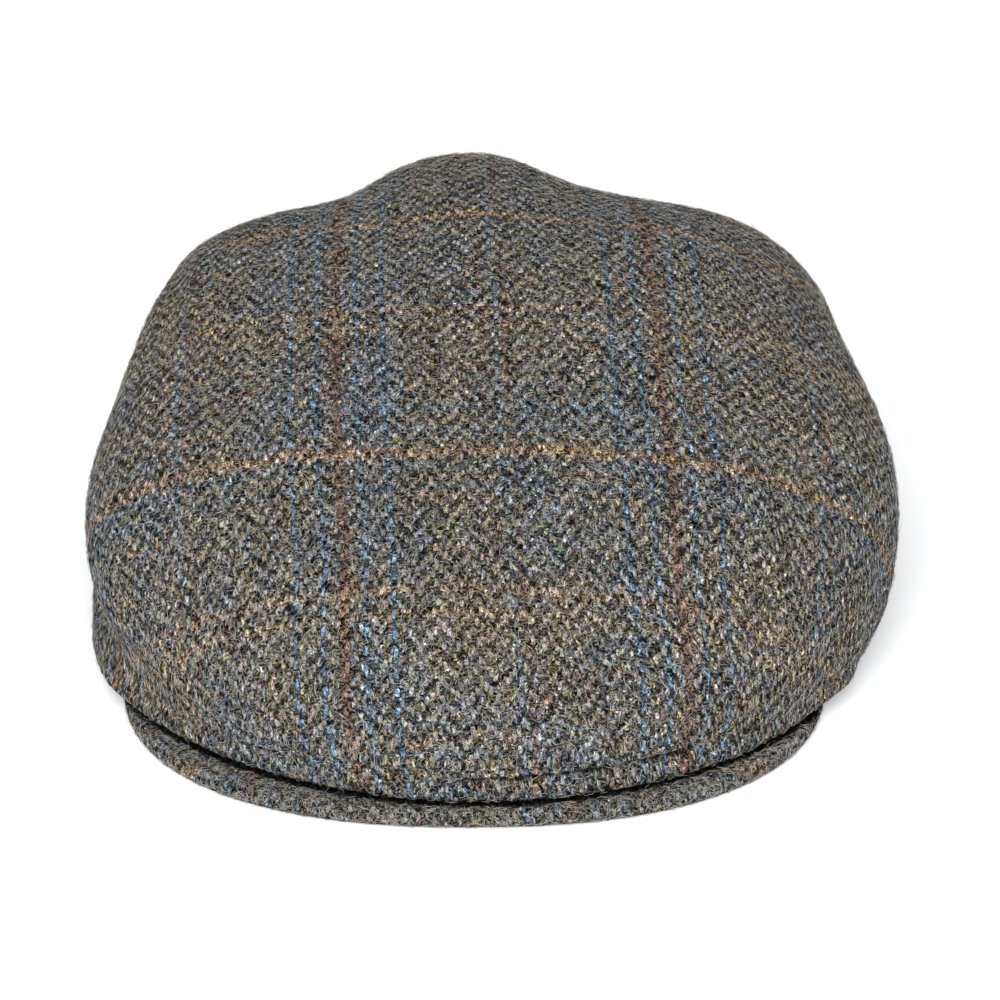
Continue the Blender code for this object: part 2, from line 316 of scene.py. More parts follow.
def addObject(name, data):
    thing = bpy.data.objects.new(name, data)
    scene.collection.objects.link(thing)
    return thing


def addMesh(name, points, quads, uv, triangles=None, paintedShade=None):
    # A mesh of points, quads and optional triangles, with a yarn map for each corner. The last argument
    # gives how much painted shade each point gets, 0 to 1: in the groove under the lip, along the seams and
    # the stitched line.
    mesh = bpy.data.meshes.new(name)
    faces = quads.tolist() + ([] if triangles is None else triangles.tolist())
    mesh.from_pydata(points.tolist(), [], faces)
    mesh.update()
    corners = np.zeros(len(mesh.loops), np.int32)
    mesh.loops.foreach_get("vertex_index", corners)
    layer = mesh.uv_layers.new(name="yarns")
    layer.data.foreach_set("uv", uv[corners].astype(np.float32).ravel())
    if paintedShade is not None:
        mesh.attributes.new("paintedShade", "FLOAT", "POINT").data.foreach_set("value", paintedShade.astype(np.float32))
    mesh.shade_smooth()
    return addObject(name, mesh)


def gridQuads(columns, rows, closed, first=0):
    # corner numbers of the quads of a columns by rows grid, columns joined round when closed
    column = np.arange(columns if closed else columns - 1)[:, None]
    row = np.arange(rows - 1)[None, :]
    after = (column + 1) % columns
    quads = np.stack([column * rows + row, column * rows + row + 1,
                      after * rows + row + 1, after * rows + row], axis=-1)
    return quads.reshape(-1, 4) + first


def roundFaces(columns, rows):
    # a grid joined round a centre point, which is number 0: quads, and a fan of triangles to the centre
    ring = 1 + np.arange(columns) * rows
    fan = np.stack([np.zeros(columns, int), ring, np.roll(ring, -1)], axis=1)
    return gridQuads(columns, rows, True, 1), fan


def addWall(piece):
    wall = piece.modifiers.new("wall", "SOLIDIFY")
    wall.thickness = crown["cloth"]
    wall.offset = -1.0
    wall.use_quality_normals = True


def dress(piece, material, slot=None, *nodes):
    piece.data.materials.append(material)
    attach(piece, "root")
    if nodes:
        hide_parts(*nodes)


# Sewing and handling marks on the panels, in metres, and round the crown in radians.
marks = {
    "pinchDeep": 0.0011,  # a seam pulls the cloth in
    "pinchWide": 0.0022,
    "puckerHigh": 0.00030,  # the cloth that is eased into a seam
    "puckerLong": 0.010,
    "puckerWide": 0.008,
    "puckerDrift": 0.004,  # the puckers come unevenly
    "driftLong": 0.017,
    "puckerShift": 0.003,  # on a side panel against the top panel
    "seamSetIn": 0.15,  # behind the tip
    "waveHigh": 0.0006,  # soft unevenness all over, but for the edge
    "waveIn": (0.002, 0.02),
    "hemDeep": 0.0008,  # the hem turns in
    "hemWide": 0.0025,
    "tackAbove": 0.0085,  # stitched line above the lip
    "tackDeep": 0.0007,
    "tackWide": 0.0007,
    # painted shade along the stitched line
    "tackShade": 0.8,
    "tackFrom": math.radians(-6),
    "tackTo": math.radians(33),
    "tackFade": 0.1,
    # painted shade along the seams
    "seamShadeStrength": 0.7,
    "seamLine": 0.0007,
    "rollOut": 0.0025,  # the folded lip stands out over the peak
    "rollDown": 0.25,  # share of that by which it also drops
    "rollRise": (0.0008, 0.0027),  # distances from its edge
    "rollFall": (0.0027, 0.0085),
    "rollFade": 0.12,  # before the tip
    # painted shade in the groove under the lip
    "grooveShade": 0.90,
    "grooveIn": (0.0016, 0.0032),
    "grooveDeep": 0.0010,  # the peak dips under the lip
    "grooveEase": 0.0016,  # and is narrower by this much towards its tips
    "easeShare": 0.5,  # and the painted shade on the lip by this share
    "easeZone": (0.45, 1.0),
    "easeZoneOnPeak": (0.45, 1.05),
    "shadeBehind": (-0.0008, 0.0010),  # distances behind the lip's fold where the peak gets painted shade
    "dipBehind": (-0.0016, 0.0006),  # and dips
    "hairsBefore": -0.0012,
    "lipOut": 0.0020,  # the fold's line, outside the CAD section at this depth
    "lipDepth": 1.6,
}

# Soft waves: cycles a metre across and down the flat cloth, phase, share of the height.
waves = ((9.0, 5.0, 0.3, 0.9), (-7.0, 11.0, 1.9, 0.7), (17.0, -6.0, 4.1, 0.45),
         (5.0, 21.0, 2.6, 0.4), (-23.0, -14.0, 5.2, 0.28), (31.0, 12.0, 0.8, 0.16))


def softWaves(flat):
    # a sum of plane sine waves over the flat cloth
    total = sum(share * np.sin(math.tau * (across * flat.real + down * flat.imag) + phase)
                for across, down, phase, share in waves)
    return marks["waveHigh"] * total


def seamRelief(away, along):
    # a Gaussian pinch at the seam, and puckers along it that fade with the distance from it
    pinch = -marks["pinchDeep"] * np.exp(-(away / marks["pinchWide"]) ** 2)
    uneven = along + marks["puckerDrift"] * np.sin(along / marks["driftLong"])
    pucker = np.sin(math.tau * uneven / marks["puckerLong"])
    return pinch + marks["puckerHigh"] * pucker * np.exp(-away / marks["puckerWide"])


def seamShade(away):
    # painted shade along the seam, a Gaussian of the distance from it
    return marks["seamShadeStrength"] * np.exp(-(away / marks["seamLine"]) ** 2)


# Outer surfaces for the nap: points and normals of each grid.
skins = {}

# Grid of the top panel. Its rows lie closer towards the edge. It is laid flat by a coarser one.
topGrid = {"side": 100, "front": 100, "rows": 140, "closer": 1.35, "coarse": 5, "rounds": 40}


def flattenTop(points, centre, angles):
    # the flat places of the centre and of the grid, read between those of a coarser grid, front down
    step = topGrid["coarse"]
    fewPoints = points[::step, step - 1::step]
    columns, rows = fewPoints.shape[:2]
    quads, fan = roundFaces(columns, rows)
    triangles = np.concatenate([fan, quads[:, [0, 1, 2]], quads[:, [0, 2, 3]]])
    rays = np.concatenate([np.broadcast_to(centre, (columns, 1, 3)), fewPoints], axis=1)
    arc = np.cumsum(lengths(np.diff(rays, axis=1)), axis=1)
    start = np.append(0, -1j * arc * np.exp(1j * angles[::step, None]))
    allPoints = np.concatenate([centre, fewPoints.reshape(-1, 3)])
    flat = layFlat(allPoints, triangles, start, topGrid["rounds"])
    front = flat[1 + (columns // 2) * rows + rows // 2]
    flat = flat * (-1j * abs(front) / front)
    known = np.column_stack([np.full(columns, flat[0]), flat[1:].reshape(columns, rows)])
    known = np.vstack([known, known[:1]])
    at = np.meshgrid(np.arange(points.shape[0]) / step, np.arange(1, points.shape[1] + 1) / step,
                     indexing="ij")
    between = onGrid(known[..., None], np.stack(at, axis=-1).reshape(-1, 2))
    return flat[:1], between.reshape(points.shape[:2])


def makeTopPanel():
    # columns run round the crown and rows from its centre to its edge, with one point at the centre
    tip = crown["tipAngle"]
    behind = backAngles(topGrid["side"] + 1)
    lip = np.linspace(-tip, tip, topGrid["front"] + 1)[1:-1]
    angles = np.concatenate([-behind[::-1], lip, behind[:-1]])
    columns, rows = len(angles), topGrid["rows"]
    share = 1 - (1 - np.arange(1, rows + 1) / rows) ** topGrid["closer"]
    depth = seamDepth(angles)[:, None] * share
    angle = np.broadcast_to(angles[:, None], depth.shape)
    points = crownSurface(angle, depth)
    centre = crownSurface(np.zeros(1), np.zeros(1))
    print("top panel grid", columns, "by", rows)
    flatCentre, flatCloth = flattenTop(points, centre, angles)

    # relief along the normals
    up = np.array([0.0, 0.0, 1.0])
    normals = gridNormals(points, True)
    normals[:, :1] = up
    rowStep = lengths(np.diff(points, axis=1, append=points[:, -1:]))
    away = np.cumsum(rowStep[:, ::-1], axis=1)[:, ::-1]
    along = lengths(points[:, -1] - np.roll(points[:, -1], 1, axis=0)).cumsum()[:, None]
    turned = np.abs(angle)
    atSeam = smooth(turned, tip, tip + marks["seamSetIn"])
    relief = softWaves(flatCloth) * smooth(away, *marks["waveIn"]) + seamRelief(away, along) * atSeam
    inTack = (smooth(angle, marks["tackFrom"], marks["tackFrom"] + marks["tackFade"])
              * (1 - smooth(angle, marks["tackTo"] - marks["tackFade"], marks["tackTo"])))
    tack = inTack * np.exp(-((away - marks["tackAbove"]) / marks["tackWide"]) ** 2)
    relief -= marks["tackDeep"] * tack
    points = points + normals * relief[..., None]
    centre = centre + up * softWaves(0j)

    # the lip: a fold that stands out just above its edge, and a groove under it. Painted shade darkens its
    # lower edge, the stitched line and the seams.
    inFront = 1 - smooth(turned, tip - marks["rollFade"], tip)
    roll = (marks["rollOut"] * smooth(away, *marks["rollRise"])
            * (1 - smooth(away, *marks["rollFall"])) * inFront)
    outward = unit(np.stack([crown["length"] * np.sin(angles), -crown["width"] * np.cos(angles)], axis=-1))
    points[..., :2] += outward[:, None] * roll[..., None]
    points[..., 2] -= marks["rollDown"] * roll
    ease = 1 - marks["easeShare"] * smooth(turned, *marks["easeZone"])
    paintedShade = (marks["grooveShade"] * ease * inFront
            * (1 - smooth(away / ease, *marks["grooveIn"])))
    paintedShade = np.maximum(paintedShade, marks["tackShade"] * tack)
    paintedShade = np.maximum(paintedShade, seamShade(away) * atSeam)
    normals = gridNormals(points, True)
    normals[:, :1] = up
    skins["top"] = (np.concatenate([points, points[:1]]), np.concatenate([normals, normals[:1]]))

    allPoints = np.concatenate([centre, points.reshape(-1, 3)])
    yarns = yarnCount(np.append(flatCentre, flatCloth))
    quads, fan = roundFaces(columns, rows)
    piece = addMesh("top_cloth", allPoints, quads, yarns, fan, np.append(0.0, paintedShade.ravel()))
    addWall(piece)
    return piece


# Grid of a side panel, the pick at its seam, and the end at its tip.
sideGrid = {"columns": 260, "rows": 70, "firstPick": 11.5, "rightEnd": 31.0, "leftEnd": 52.0}


def makeSidePanel(name, side, firstEnd):
    # columns run from a tip to the centre back, and rows from the seam down to the hem
    angles = backAngles(sideGrid["columns"])
    angles = np.minimum(angles, math.pi - crown["seamGap"] / crown["width"])[:, None] * side
    share = np.linspace(0.0, 1.0, sideGrid["rows"])[None, :]
    start = seamDepth(angles)
    depth = start + (2.0 - start) * share
    points = crownSurface(np.broadcast_to(angles, depth.shape), depth)
    normals = gridNormals(points, False) * side
    down = lengths(np.diff(points, axis=1, prepend=points[:, :1])).cumsum(axis=1)
    hemRun = lengths(np.diff(points[:, -1], axis=0, prepend=points[:1, -1])).cumsum()
    along = np.broadcast_to(hemRun[:, None], down.shape)
    toBack, toHem = hemRun[-1] - along, down[:, -1:] - down
    relief = (seamRelief(down, along + marks["puckerShift"]) + seamRelief(toBack, down)
              - marks["hemDeep"] * smooth(-toHem, -marks["hemWide"], 0.0))
    # painted shade along the seams
    paintedShade = np.maximum(seamShade(toBack), seamShade(down))
    points = points + normals * relief[..., None]
    points[..., 2] = np.maximum(points[..., 2], 0.0)
    skins[name] = (points, normals)
    yarns = np.stack([along / cloth["endPitch"] + firstEnd,
                      down / cloth["pickPitch"] + sideGrid["firstPick"]], axis=-1)
    quads = gridQuads(*down.shape, False)
    if side < 0:
        quads = quads[:, ::-1]
    piece = addMesh(name, points.reshape(-1, 3), quads, yarns.reshape(-1, 2), paintedShade=paintedShade.ravel())
    addWall(piece)
    return piece


def sinkGroove(points):
    # Lowers the peak's points under the lip. Gives how far behind the lip's fold each one lies, and
    # how much painted shade it gets there, both by the distance from the crown's centre.
    fromCentre = points[:, :2] - crownShift[:2]
    bearing = np.arctan2(fromCentre[:, 0] / crown["width"], -fromCentre[:, 1] / crown["length"])
    lip = crownSurface(bearing, np.full(len(bearing), marks["lipDepth"]))[:, :2] - crownShift[:2]
    behind = lengths(lip) + marks["lipOut"] - lengths(fromCentre)
    behind = behind - marks["grooveEase"] * smooth(np.abs(bearing), *marks["easeZoneOnPeak"])
    onTop = smooth(points[:, 2], peak["thickness"] / 2, peak["thickness"])
    paintedShade = marks["grooveShade"] * smooth(behind, *marks["shadeBehind"]) * onTop
    points[:, 2] -= marks["grooveDeep"] * smooth(behind, *marks["dipBehind"]) * onTop
    return behind, paintedShade


def makePeak():
    # A crescent between two superellipses. Its upper and lower skins bulge from a shared edge,
    # by a quarter circle of the distance from the edge, and are flat further in.
    spread = np.linspace(-1.0, 1.0, peak["columns"])
    turn = np.sin(spread * math.pi / 2) * math.pi / 2
    power = 2.0 / peak["squareness"]
    across = np.sign(turn) * np.abs(np.sin(turn)) ** power
    forward = clamp(np.cos(turn)) ** power
    outer = np.stack([peak["width"] / 2 * across, peakTipY - peak["reach"] * forward], axis=-1)
    inner = np.stack([peak["bandWidth"] / 2 * across, peakTipY - peak["bandReach"] * forward], axis=-1)
    wide = lengths(outer - inner)[:, None]
    share = (1 - np.cos(np.linspace(0.0, math.pi, peak["rows"])))[None, :] / 2
    flat = inner[:, None] + (outer - inner)[:, None] * share[..., None]
    columns, rows = flat.shape[:2]
    endRun = lengths(np.diff(outer, axis=0, prepend=outer[:1])).cumsum()[:, None]
    toEnd = np.minimum(endRun, endRun[-1] - endRun)
    fromFront = (1 - share) * wide
    toEdge = np.minimum(np.minimum(share * wide, fromFront), toEnd)
    rim = peak["edgeRound"]
    near = clamp(toEdge / rim)
    half = peak["thickness"] / 2 * np.sqrt(clamp(1 - (1 - near) ** 2))
    inward = (inner - outer)[:, None] / wide[..., None]
    arc = np.where(fromFront < rim, rim * np.arccos(np.clip(1 - fromFront / rim, -1, 1)),
                   fromFront + rim * (math.pi / 2 - 1))
    sheets, maps = [], []
    for up in (1, -1):
        height = peak["thickness"] / 2 + up * half
        sheets.append(np.concatenate([flat, height[..., None]], axis=-1).reshape(-1, 3))
        maps.append((outer[:, None] + inward * arc[..., None] * up).reshape(-1, 2))
    points = np.concatenate(sheets) + crownShift
    # the fold line, pressed in low on the front rim
    lowFold = np.exp(-((points[:, 2] - peak["foldDrop"]) / peak["foldWide"]) ** 2)
    frontRim = np.tile(smooth(-fromFront, *peak["foldIn"]).ravel(), 2)
    pull = np.tile(np.broadcast_to(inward, flat.shape).reshape(-1, 2), (2, 1))
    points[:, :2] += pull * (peak["foldDeep"] * lowFold * frontRim)[:, None]
    yarns = np.concatenate(maps) / (cloth["endPitch"], -cloth["pickPitch"]) + peak["firstYarns"]
    behind, paintedShade = sinkGroove(points)
    upperSkin, lowerSkin = points.reshape(2, columns, rows, 3)
    wrapped = np.concatenate([upperSkin, lowerSkin[:, -2::-1]], axis=1)
    clear = np.concatenate([behind.reshape(2, columns, rows)[0] < marks["hairsBefore"],
                            np.ones((columns, rows - 1), bool)], axis=1)
    skins["peak"] = (wrapped, gridNormals(wrapped, False), clear)
    upper = gridQuads(columns, rows, False)
    lower = gridQuads(columns, rows, False, columns * rows)[:, ::-1]
    piece = addMesh("peak_cloth", points, np.concatenate([upper, lower]), yarns, paintedShade=paintedShade)
    piece.modifiers.new("rim", "WELD").merge_threshold = peak["weld"]
    return piece


# The nap: loose wool hairs, lying on the cloth. Metres.
nap = {
    "radius": 0.000048,
    "stations": 5,  # points along a hair
    "sides": 3,
    "short": 0.0018,
    "long": 0.0058,
    "bend": 0.40,  # radians a station, evenly
    "kink": 0.28,  # and unevenly
    "low": 0.00004,
    "high": 0.00022,
    "arch": 0.00028,
    "loose": 0.06,  # share of hairs with a free end
    "looseHigh": 0.0013,
    "floor": 0.0002,
    "span": 1.2,  # a hair that reaches further, in its lengths, has left the grid
    "askew": (0.31, 0.52, 0.79),  # a direction that no hair follows
    "onTop": 10500,  # hairs on each piece of cloth
    "onSide": 3600,
    "onPeak": 2300,
    "poleRows": 2,  # rows of the top panel without hairs, at its centre and its edge
    "edgeRows": 8,
    "lowest": 0.0006,  # on the peak, above the table
}


def layHairs(skin, count, dice, wanted, closed):
    # Hairs start at random spots, as many for each area of cloth, and walk in curls along it.
    grid, normals = skin[:2]
    across, down = np.gradient(grid, axis=0), np.gradient(grid, axis=1)
    area = lengths(np.cross(across, down))[:-1, :-1] * wanted[:-1, :-1]
    cells = dice.choice(area.size, count, p=area.ravel() / area.sum())
    at = np.stack(np.unravel_index(cells, area.shape), axis=-1) + dice.random((count, 2))
    heading = dice.random(count) * math.tau
    bend = dice.normal(0.0, nap["bend"], count)
    length = nap["short"] + (nap["long"] - nap["short"]) * dice.random(count) ** 2
    step = (length / (nap["stations"] - 1))[:, None]
    base = nap["low"] + (nap["high"] - nap["low"]) * dice.random(count)
    arch = nap["arch"] * dice.random(count)
    free = nap["looseHigh"] * dice.random(count) * (dice.random(count) < nap["loose"])
    line = []
    for share in np.linspace(0.0, 1.0, nap["stations"]):
        inside = np.clip(at, 0.0, np.array(grid.shape[:2]) - 1.0)
        normal = unit(onGrid(normals, inside))
        lift = base + arch * math.sin(math.pi * share) + free * share ** 2
        line.append(onGrid(grid, at) + normal * lift[:, None])
        alongColumn, alongRow = onGrid(across, inside), onGrid(down, inside)
        ahead = unit(alongRow)
        aside = np.cross(normal, ahead)
        move = step * (np.cos(heading)[:, None] * ahead + np.sin(heading)[:, None] * aside)
        # the move in grid steps, from the two-by-two system of the grid's own directions
        columnSquare, rowSquare = (alongColumn ** 2).sum(1), (alongRow ** 2).sum(1)
        both = (alongColumn * alongRow).sum(1)
        moveColumn, moveRow = (alongColumn * move).sum(1), (alongRow * move).sum(1)
        whole = np.maximum(columnSquare * rowSquare - both ** 2, 1e-18)
        at = at + np.stack([(moveColumn * rowSquare - moveRow * both) / whole,
                            (moveRow * columnSquare - moveColumn * both) / whole], axis=-1)
        if closed:
            at[:, 0] %= grid.shape[0] - 1
        heading = heading + bend + dice.normal(0.0, nap["kink"], count)
    line = np.stack(line, axis=1)
    reached = lengths(line - line[:, :1]).max(axis=1)
    return line[reached < nap["span"] * length + nap["looseHigh"]]


def makeNap(name, parts, seed):
    # Each hair is a three-sided tube with pointed ends. parts: skin, count, wanted, closed.
    dice = np.random.default_rng(seed)
    line = np.concatenate([layHairs(skin, count, dice, wanted, closed)
                           for skin, count, wanted, closed in parts])
    line[..., 2] = np.maximum(line[..., 2], nap["floor"])
    count, stations, sides = len(line), nap["stations"], nap["sides"]
    forward = unit(np.gradient(line, axis=1) + 1e-12)
    first = unit(np.cross(forward, nap["askew"]))
    second = np.cross(forward, first)
    turn = (np.arange(sides) * math.tau / sides)[:, None]
    ring = np.cos(turn) * first[:, 1:-1, None] + np.sin(turn) * second[:, 1:-1, None]
    ring = line[:, 1:-1, None] + nap["radius"] * ring
    perHair = 2 + (stations - 2) * sides
    points = np.concatenate([line[:, :1], ring.reshape(count, -1, 3), line[:, -1:]], axis=1)
    start = (np.arange(count) * perHair)[:, None, None]
    side = np.arange(sides)
    after = (side + 1) % sides
    rings = 1 + np.arange(stations - 3)[:, None] * sides
    quads = np.stack([rings + side, rings + after, rings + sides + after, rings + sides + side], axis=-1)
    last = perHair - 1
    caps = np.concatenate([np.stack([0 * side, 1 + after, 1 + side], axis=-1),
                           np.stack([0 * side + last, last - sides + side, last - sides + after], axis=-1)])
    own = np.broadcast_to(dice.random(count)[:, None], (count, perHair))
    share = np.broadcast_to(np.linspace(0.0, 1.0, perHair), (count, perHair))
    piece = addMesh(name, points.reshape(-1, 3), (quads.reshape(-1, 4)[None] + start).reshape(-1, 4),
                    np.stack([own, share], axis=-1).reshape(-1, 2), (caps[None] + start).reshape(-1, 3))
    print(name, count, "hairs")
    return piece


# Materials. A spot is a value made by a node, and arithmetic on it adds more nodes.
class Spot:
    def __init__(self, socket):
        self.socket = socket

    def __add__(self, other):
        return calc("ADD", self, other)

    def __sub__(self, other):
        return calc("SUBTRACT", self, other)

    def __rsub__(self, other):
        return calc("SUBTRACT", other, self)

    def __mul__(self, other):
        return calc("MULTIPLY", self, other)


def fill(node, inputs):
    # a spot is linked to its socket, and a number stays on it
    for key, value in inputs.items():
        if isinstance(value, Spot):
            node.id_data.links.new(value.socket, node.inputs[key])
        else:
            node.inputs[key].default_value = value


def addNode(kind, inputs, **settings):
    # adds a node to the tree of its first spot. Gives its outputs.
    tree = next(value for value in inputs.values() if isinstance(value, Spot)).socket.id_data
    node = tree.nodes.new("ShaderNode" + kind)
    for key, value in settings.items():
        setattr(node, key, value)
    fill(node, inputs)
    return [Spot(socket) for socket in node.outputs]


def calc(operation, *values):
    return addNode("Math", dict(enumerate(values)), operation=operation)[0]


def choose(share, one, other):
    # one where the share is 1, the other where it is 0
    return share * one + (1.0 - share) * other


def dome(across, run, up):
    # the root of a parabola across the yarn by one along the float, both 1 in the middle
    middle = (across * (1.0 - across) * 4.0) * (run * (1.0 - run) * 4.0)
    return calc("SQRT", calc("MAXIMUM", middle, 0.0)) * up


def blendColour(share, below, above, kind="MIX"):
    return addNode("Mix", {0: share, 6: below, 7: above}, data_type="RGBA", blend_type=kind)[2]


def ramp(value, stops, steps=False):
    # stops: place, colour. Gives colour and alpha.
    colour, alpha = addNode("ValToRGB", {0: value})
    colourRamp = colour.socket.node.color_ramp
    colourRamp.interpolation = "CONSTANT" if steps else "LINEAR"
    while len(colourRamp.elements) < len(stops):
        colourRamp.elements.new(1.0)
    for element, (place, shade) in zip(colourRamp.elements, stops):
        element.position = place
        element.color = shade if len(shade) == 4 else (*shade, 1.0)
    return colour, alpha


def fadeIn(value, low, high, most=1.0):
    # 0 up to low, and most from high on
    return ramp(value, ((low, (0, 0, 0)), (high, (most, most, most))))[0]


def vector(x, y, z=0.0):
    return addNode("CombineXYZ", {0: x, 1: y, 2: z})[0]


def noise(place, scale, detail, rough, shift):
    # two-dimensional, moved by shift so that no two are alike. Gives value and colour.
    moved = addNode("VectorMath", {0: place, 1: (shift, 0.37 * shift, 0.0)}, operation="ADD")[0]
    return addNode("TexNoise", {"Vector": moved, "Scale": scale, "Detail": detail, "Roughness": rough},
                   noise_dimensions="2D")


def pushPlace(place, scale, amount, shift):
    # moves a place about by a colour noise, up to half of amount each way
    push = noise(place, scale, 1.0, 0.5, shift)[1]
    return addNode("VectorMath", {0: push, 1: (amount, amount, 0.0), 2: place}, operation="MULTIPLY_ADD")[0]


def streaks(place, turn, across, along, shift):
    # noise drawn out into fibres: turned by turn degrees from the warp, across and along in yarns
    turned = addNode("Mapping", {"Vector": place, "Rotation": (0.0, 0.0, math.radians(turn)),
                                 "Scale": (across, along, 1.0)}, vector_type="TEXTURE")[0]
    return noise(turned, 1.0, 1.5, 0.55, shift)[0]


def randomValue(x, y, z):
    return addNode("TexWhiteNoise", {"Vector": vector(x, y, z)}, noise_dimensions="3D")[0]


# Colours are linear and are scaled by the tone of each spot. Tones run from 0 black to 1 white, as seen.
tweed = {
    "white": (1, 1, 1),
    "wool": (1.060, 1.000, 0.905),
    "cool": (0.90, 0.99, 1.12),
    "warm": (1.15, 1.01, 0.78),
    "heather": (1.02, 0.95, 1.07),
    "moss": (0.98, 1.05, 0.91),
    "rust": (0.98, 0.55, 0.39),
    "brown": (1.32, 0.92, 0.70),
    "blue": (0.70, 1.07, 1.46),
    "orange": (1.58, 0.86, 0.36),
    "yellow": (1.36, 1.08, 0.34),
    "olive": (1.20, 1.06, 0.56),
    "plum": (1.15, 0.90, 1.05),
    "weftTone": 0.13,
    "warpTone": 0.32,
    "fibreTone": 1.95,  # a fibre against the hollow beside it
    "fibreMiddle": 0.53,
    "looseLess": 0.03,  # loose fibres show less than a yarn's own
    "floatTone": 0.09,  # one float against the next
    "patchTone": 0.24,
    "gapShade": 0.14,  # painted shade in the gaps between yarns, by the height of the floats
    "gapShadeBelow": 0.6,
    "hairTone": 0.22,
    "hairThin": 22.0,
    "hairs": ((0.62, 101.0), (0.85, 113.0)),  # scale and shift of each layer
    "hairIn": (0.46, 0.56),
    "darkest": 0.06,
    "gamma": 2.2,
    "fray": 1.6,  # of a float's edge, by the fibres
    "weftCover": 0.6,  # the weft's dome against the warp's
    "warpIn": (0.02, 0.6),  # where the warp starts to cover, and covers
    "weftRaised": 0.8,
    "broadShare": 0.42,  # of the middle and of the broad noise in the hue
    "fineShare": 0.16,
    "fleckIn": (0.60, 0.68, 0.65),  # noise where a fleck starts and is full, and its strength
    "stripeTone": 0.75,  # a weft stripe is this much lighter
    "stripeChange": 0.62,  # share of it that changes along its yarn
    "stripeRun": (0.10, 0.6),  # how fast, along and from pick to pick
    "stripeUnder": 0.35,  # share of it that the warp hides
    "endUnder": 0.55,  # share of a warp stripe that the weft hides
    "bump": 0.00035,
    "bumpWeft": 0.7,  # heights in the bump
    "bumpFibre": 2.5,
    "shader": {"Roughness": 0.95, "Specular IOR Level": 0.04},
    # the peak's copy of the tweed is scaled by this, darker all over: painted shade
    "peakShadeScale": 0.83,
}

# Places moved about: scale, amount in yarns, shift.
pushes = {
    "wobble": (0.45, 1.0, 3.0),
    "curl": (0.8, 1.5, 9.0),
    "fineCurl": (2.1, 0.25, 19.0),
    "fleck": (0.5, 1.2, 29.0),
}

# Fibres: degrees turned from the warp, size across and along in yarns, shift.
fibres = {
    "warp": (12, 0.30, 1.3, 1.0),
    "weft": (80, 0.30, 1.3, 14.0),
    "looseOne": (52, 0.27, 1.9, 27.0),
    "looseTwo": (-40, 0.27, 1.9, 38.0),
}

# Noises over the yarns: scale, detail, roughness, shift.
noises = {
    "patch": (0.16, 3.0, 0.65, 51.0),
    "fineHue": (1.0, 1.0, 0.5, 63.0),
    "midHue": (0.32, 2.0, 0.6, 71.0),
    "broadHue": (0.055, 1.0, 0.5, 77.0),
    "mossHue": (0.40, 1.0, 0.5, 79.0),
    "fleck": (0.42, 1.0, 0.6, 91.0),
    "fleckHue": (0.11, 2.0, 0.7, 97.0),
    "stripeHue": (1.0, 2.0, 0.6, 83.0),
}

# Colours along a noise.
hues = {
    "wool": ((0.38, "cool"), (0.5, "wool"), (0.62, "warm")),
    "moss": ((0.36, "heather"), (0.5, "white"), (0.64, "moss")),
    "fleck": ((0.32, "plum"), (0.40, "blue"), (0.45, "yellow"), (0.52, "yellow"), (0.57, "rust"),
              (0.64, "orange")),
    "stripe": ((0.36, "rust"), (0.47, "orange"), (0.55, "yellow"), (0.64, "orange")),
}

# The check over one repeat: first yarn, number of yarns, colour, strength.
check = {
    "ends": ((0, 2, "rust", 0.85), (5, 1, "blue", 0.95), (11, 1, "blue", 1.0), (33, 1, "brown", 0.5),
             (36, 1, "blue", 0.4), (38, 1, "rust", 0.5), (62, 1, "blue", 1.0), (68, 1, "blue", 1.0)),
    "picks": ((0, 2, "orange", 0.70), (32, 2, "orange", 0.42), (37, 2, "olive", 0.45)),
    "coolPicks": ((4, 1, "blue", 0.38), (9, 1, "blue", 0.38), (60, 1, "blue", 0.42), (66, 1, "blue", 0.42)),
}


def ownNoise(name, place):
    return noise(place, *noises[name])[0]


def hueRamp(name, value):
    return ramp(value, [(place, tweed[colour]) for place, colour in hues[name]])[0]


def chart(count, repeat, entries):
    # A smooth ramp over one repeat of the check. A colour fades in and out over half a yarn on each
    # side. The ramp starts one yarn early. Gives the colour and its strength.
    stops = []
    for first, yarns, colour, strength in entries:
        for at, share in ((-0.4, 0.0), (0.15, strength), (yarns - 0.15, strength), (yarns + 0.4, 0.0)):
            stops.append(((first + 1 + at) / repeat, (*tweed[colour], share)))
    return ramp(calc("FRACT", calc("DIVIDE", count + 1.0, repeat)), stops)


def startMaterial(name):
    # the material, its shader, and the piece's own map
    material = bpy.data.materials.new(name)
    material.use_nodes = True
    nodes = material.node_tree.nodes
    mapNode = nodes.new("ShaderNodeUVMap")
    mapNode.uv_map = "yarns"
    return material, nodes["Principled BSDF"], Spot(mapNode.outputs[0])


def makeWeave(ends, picks):
    # Two up two down herringbone. An end is up for two picks of four, and the start moves by one
    # pick an end, up four ends and down four. Gives where the warp is up, the domes of the warp's
    # and the weft's floats, and a random number for each float.
    end, pick = calc("FLOOR", ends), calc("FLOOR", picks)
    inEnd, inPick = calc("FRACT", ends), calc("FRACT", picks)
    ofEight = calc("FLOORED_MODULO", end, 8.0)
    rising = calc("LESS_THAN", ofEight, 3.5)
    shifted = pick + choose(rising, ofEight, 5.0 - ofEight)
    phase = calc("FLOORED_MODULO", shifted, 4.0)
    warpUp = calc("LESS_THAN", phase, 1.5)
    weftStep = choose(rising, phase - 2.0, 3.0 - phase)
    warpDome = dome(inEnd, (phase + inPick) * 0.5, warpUp)
    weftDome = dome(inPick, (weftStep + inEnd) * 0.5, 1.0 - warpUp)
    own = choose(warpUp, randomValue(end, calc("FLOOR", shifted * 0.25), 0.5),
                 randomValue(end - weftStep, pick, 7.5))
    return warpUp, warpDome, weftDome, own


